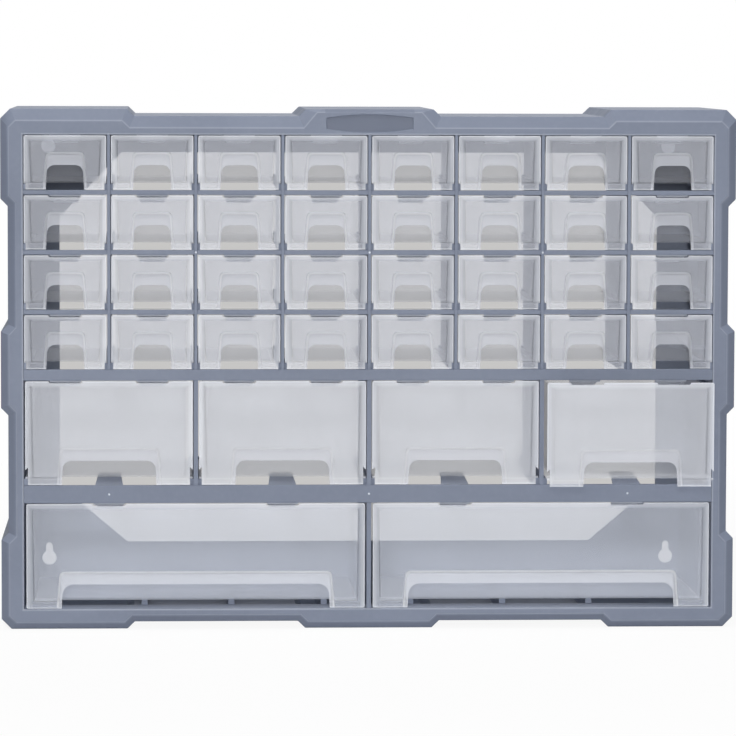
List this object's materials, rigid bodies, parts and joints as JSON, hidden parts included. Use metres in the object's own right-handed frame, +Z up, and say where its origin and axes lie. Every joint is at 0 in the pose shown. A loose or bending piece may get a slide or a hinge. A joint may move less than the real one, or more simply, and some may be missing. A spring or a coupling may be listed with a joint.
{
  "type": "parts bin cabinet",
  "caption": "Wall-mountable cabinet of see-through pull-out drawers in small, medium and large sizes, in a moulded frame with a stepped outline, for small parts.",
  "frame": {"origin": "underside of the middle foot, half way between the front face and the back", "axes": "+X to the right seen from the front, +Y to the back and the wall, +Z up"},
  "size_m": [0.52, 0.18, 0.368],
  "materials": {
    "housing_plastic": "satin moulded",
    "drawer_plastic": "translucent, smooth"
  },
  "bodies": {
    "housing": {"front_frame": "housing_plastic", "lining": "housing_plastic", "outer_case": "housing_plastic", "rear_panel": "housing_plastic", "floor_runners": "housing_plastic", "side_rails": "housing_plastic", "small_divider_1": "housing_plastic", "small_divider_2": "housing_plastic", "small_divider_3": "housing_plastic", "small_divider_4": "housing_plastic", "small_divider_5": "housing_plastic", "small_divider_6": "housing_plastic", "small_divider_7": "housing_plastic", "medium_divider_1": "housing_plastic", "medium_divider_2": "housing_plastic", "medium_divider_3": "housing_plastic", "large_divider": "housing_plastic", "row_bars": "housing_plastic", "medium_bar": "housing_plastic", "large_bar": "housing_plastic", "retaining_tongues": "housing_plastic", "support_leaves": "housing_plastic"},
    "medium_drawer_4": {"medium_drawer_4": "drawer_plastic"},
    "large_drawer_1": {"large_drawer_1": "drawer_plastic"},
    "medium_drawer_1": {"medium_drawer_1": "drawer_plastic"},
    "small_drawer_r1_c1": {"small_drawer_r1_c1": "drawer_plastic"},
    "small_drawer_r4_c8": {"small_drawer_r4_c8": "drawer_plastic"},
    "large_drawer_2": {"large_drawer_2": "drawer_plastic"},
    "medium_drawer_2": {"medium_drawer_2": "drawer_plastic"},
    "medium_drawer_3": {"medium_drawer_3": "drawer_plastic"},
    "small_drawer_r1_c2": {"small_drawer_r1_c2": "drawer_plastic"},
    "small_drawer_r1_c3": {"small_drawer_r1_c3": "drawer_plastic"},
    "small_drawer_r1_c4": {"small_drawer_r1_c4": "drawer_plastic"},
    "small_drawer_r1_c5": {"small_drawer_r1_c5": "drawer_plastic"},
    "small_drawer_r1_c6": {"small_drawer_r1_c6": "drawer_plastic"},
    "small_drawer_r1_c7": {"small_drawer_r1_c7": "drawer_plastic"},
    "small_drawer_r1_c8": {"small_drawer_r1_c8": "drawer_plastic"},
    "small_drawer_r2_c1": {"small_drawer_r2_c1": "drawer_plastic"},
    "small_drawer_r2_c2": {"small_drawer_r2_c2": "drawer_plastic"},
    "small_drawer_r2_c3": {"small_drawer_r2_c3": "drawer_plastic"},
    "small_drawer_r2_c4": {"small_drawer_r2_c4": "drawer_plastic"},
    "small_drawer_r2_c5": {"small_drawer_r2_c5": "drawer_plastic"},
    "small_drawer_r2_c6": {"small_drawer_r2_c6": "drawer_plastic"},
    "small_drawer_r2_c7": {"small_drawer_r2_c7": "drawer_plastic"},
    "small_drawer_r2_c8": {"small_drawer_r2_c8": "drawer_plastic"},
    "small_drawer_r3_c1": {"small_drawer_r3_c1": "drawer_plastic"},
    "small_drawer_r3_c2": {"small_drawer_r3_c2": "drawer_plastic"},
    "small_drawer_r3_c3": {"small_drawer_r3_c3": "drawer_plastic"},
    "small_drawer_r3_c4": {"small_drawer_r3_c4": "drawer_plastic"},
    "small_drawer_r3_c5": {"small_drawer_r3_c5": "drawer_plastic"},
    "small_drawer_r3_c6": {"small_drawer_r3_c6": "drawer_plastic"},
    "small_drawer_r3_c7": {"small_drawer_r3_c7": "drawer_plastic"},
    "small_drawer_r3_c8": {"small_drawer_r3_c8": "drawer_plastic"},
    "small_drawer_r4_c1": {"small_drawer_r4_c1": "drawer_plastic"},
    "small_drawer_r4_c2": {"small_drawer_r4_c2": "drawer_plastic"},
    "small_drawer_r4_c3": {"small_drawer_r4_c3": "drawer_plastic"},
    "small_drawer_r4_c4": {"small_drawer_r4_c4": "drawer_plastic"},
    "small_drawer_r4_c5": {"small_drawer_r4_c5": "drawer_plastic"},
    "small_drawer_r4_c6": {"small_drawer_r4_c6": "drawer_plastic"},
    "small_drawer_r4_c7": {"small_drawer_r4_c7": "drawer_plastic"}
  },
  "joints": [
    {"name": "medium_drawer_4_slide", "type": "slide", "parent": "housing", "child": "medium_drawer_4", "axis": [0, -1, 0], "range_m": [-0.02, 0.0853]},
    {"name": "large_drawer_1_slide", "type": "slide", "parent": "housing", "child": "large_drawer_1", "axis": [0, -1, 0], "range_m": [0, 0.1053]},
    {"name": "medium_drawer_1_slide", "type": "slide", "parent": "housing", "child": "medium_drawer_1", "axis": [0, -1, 0], "range_m": [0, 0.1053]},
    {"name": "small_drawer_r1_c1_slide", "type": "slide", "parent": "housing", "child": "small_drawer_r1_c1", "axis": [0, -1, 0], "range_m": [0, 0.1053]},
    {"name": "small_drawer_r4_c8_slide", "type": "slide", "parent": "housing", "child": "small_drawer_r4_c8", "axis": [0, -1, 0], "range_m": [0, 0.1053]},
    {"name": "large_drawer_2_slide", "type": "slide", "parent": "housing", "child": "large_drawer_2", "axis": [0, -1, 0], "range_m": [0, 0.1053]},
    {"name": "medium_drawer_2_slide", "type": "slide", "parent": "housing", "child": "medium_drawer_2", "axis": [0, -1, 0], "range_m": [0, 0.1053]},
    {"name": "medium_drawer_3_slide", "type": "slide", "parent": "housing", "child": "medium_drawer_3", "axis": [0, -1, 0], "range_m": [0, 0.1053]},
    {"name": "small_drawer_r1_c2_slide", "type": "slide", "parent": "housing", "child": "small_drawer_r1_c2", "axis": [0, -1, 0], "range_m": [0, 0.1053]},
    {"name": "small_drawer_r1_c3_slide", "type": "slide", "parent": "housing", "child": "small_drawer_r1_c3", "axis": [0, -1, 0], "range_m": [0, 0.1053]},
    {"name": "small_drawer_r1_c4_slide", "type": "slide", "parent": "housing", "child": "small_drawer_r1_c4", "axis": [0, -1, 0], "range_m": [0, 0.1053]},
    {"name": "small_drawer_r1_c5_slide", "type": "slide", "parent": "housing", "child": "small_drawer_r1_c5", "axis": [0, -1, 0], "range_m": [0, 0.1053]},
    {"name": "small_drawer_r1_c6_slide", "type": "slide", "parent": "housing", "child": "small_drawer_r1_c6", "axis": [0, -1, 0], "range_m": [0, 0.1053]},
    {"name": "small_drawer_r1_c7_slide", "type": "slide", "parent": "housing", "child": "small_drawer_r1_c7", "axis": [0, -1, 0], "range_m": [0, 0.1053]},
    {"name": "small_drawer_r1_c8_slide", "type": "slide", "parent": "housing", "child": "small_drawer_r1_c8", "axis": [0, -1, 0], "range_m": [0, 0.1053]},
    {"name": "small_drawer_r2_c1_slide", "type": "slide", "parent": "housing", "child": "small_drawer_r2_c1", "axis": [0, -1, 0], "range_m": [0, 0.1053]},
    {"name": "small_drawer_r2_c2_slide", "type": "slide", "parent": "housing", "child": "small_drawer_r2_c2", "axis": [0, -1, 0], "range_m": [0, 0.1053]},
    {"name": "small_drawer_r2_c3_slide", "type": "slide", "parent": "housing", "child": "small_drawer_r2_c3", "axis": [0, -1, 0], "range_m": [0, 0.1053]},
    {"name": "small_drawer_r2_c4_slide", "type": "slide", "parent": "housing", "child": "small_drawer_r2_c4", "axis": [0, -1, 0], "range_m": [0, 0.1053]},
    {"name": "small_drawer_r2_c5_slide", "type": "slide", "parent": "housing", "child": "small_drawer_r2_c5", "axis": [0, -1, 0], "range_m": [0, 0.1053]},
    {"name": "small_drawer_r2_c6_slide", "type": "slide", "parent": "housing", "child": "small_drawer_r2_c6", "axis": [0, -1, 0], "range_m": [0, 0.1053]},
    {"name": "small_drawer_r2_c7_slide", "type": "slide", "parent": "housing", "child": "small_drawer_r2_c7", "axis": [0, -1, 0], "range_m": [0, 0.1053]},
    {"name": "small_drawer_r2_c8_slide", "type": "slide", "parent": "housing", "child": "small_drawer_r2_c8", "axis": [0, -1, 0], "range_m": [0, 0.1053]},
    {"name": "small_drawer_r3_c1_slide", "type": "slide", "parent": "housing", "child": "small_drawer_r3_c1", "axis": [0, -1, 0], "range_m": [0, 0.1053]},
    {"name": "small_drawer_r3_c2_slide", "type": "slide", "parent": "housing", "child": "small_drawer_r3_c2", "axis": [0, -1, 0], "range_m": [0, 0.1053]},
    {"name": "small_drawer_r3_c3_slide", "type": "slide", "parent": "housing", "child": "small_drawer_r3_c3", "axis": [0, -1, 0], "range_m": [0, 0.1053]},
    {"name": "small_drawer_r3_c4_slide", "type": "slide", "parent": "housing", "child": "small_drawer_r3_c4", "axis": [0, -1, 0], "range_m": [0, 0.1053]},
    {"name": "small_drawer_r3_c5_slide", "type": "slide", "parent": "housing", "child": "small_drawer_r3_c5", "axis": [0, -1, 0], "range_m": [0, 0.1053]},
    {"name": "small_drawer_r3_c6_slide", "type": "slide", "parent": "housing", "child": "small_drawer_r3_c6", "axis": [0, -1, 0], "range_m": [0, 0.1053]},
    {"name": "small_drawer_r3_c7_slide", "type": "slide", "parent": "housing", "child": "small_drawer_r3_c7", "axis": [0, -1, 0], "range_m": [0, 0.1053]},
    {"name": "small_drawer_r3_c8_slide", "type": "slide", "parent": "housing", "child": "small_drawer_r3_c8", "axis": [0, -1, 0], "range_m": [0, 0.1053]},
    {"name": "small_drawer_r4_c1_slide", "type": "slide", "parent": "housing", "child": "small_drawer_r4_c1", "axis": [0, -1, 0], "range_m": [0, 0.1053]},
    {"name": "small_drawer_r4_c2_slide", "type": "slide", "parent": "housing", "child": "small_drawer_r4_c2", "axis": [0, -1, 0], "range_m": [0, 0.1053]},
    {"name": "small_drawer_r4_c3_slide", "type": "slide", "parent": "housing", "child": "small_drawer_r4_c3", "axis": [0, -1, 0], "range_m": [0, 0.1053]},
    {"name": "small_drawer_r4_c4_slide", "type": "slide", "parent": "housing", "child": "small_drawer_r4_c4", "axis": [0, -1, 0], "range_m": [0, 0.1053]},
    {"name": "small_drawer_r4_c5_slide", "type": "slide", "parent": "housing", "child": "small_drawer_r4_c5", "axis": [0, -1, 0], "range_m": [0, 0.1053]},
    {"name": "small_drawer_r4_c6_slide", "type": "slide", "parent": "housing", "child": "small_drawer_r4_c6", "axis": [0, -1, 0], "range_m": [0, 0.1053]},
    {"name": "small_drawer_r4_c7_slide", "type": "slide", "parent": "housing", "child": "small_drawer_r4_c7", "axis": [0, -1, 0], "range_m": [0, 0.1053]}
  ]
}
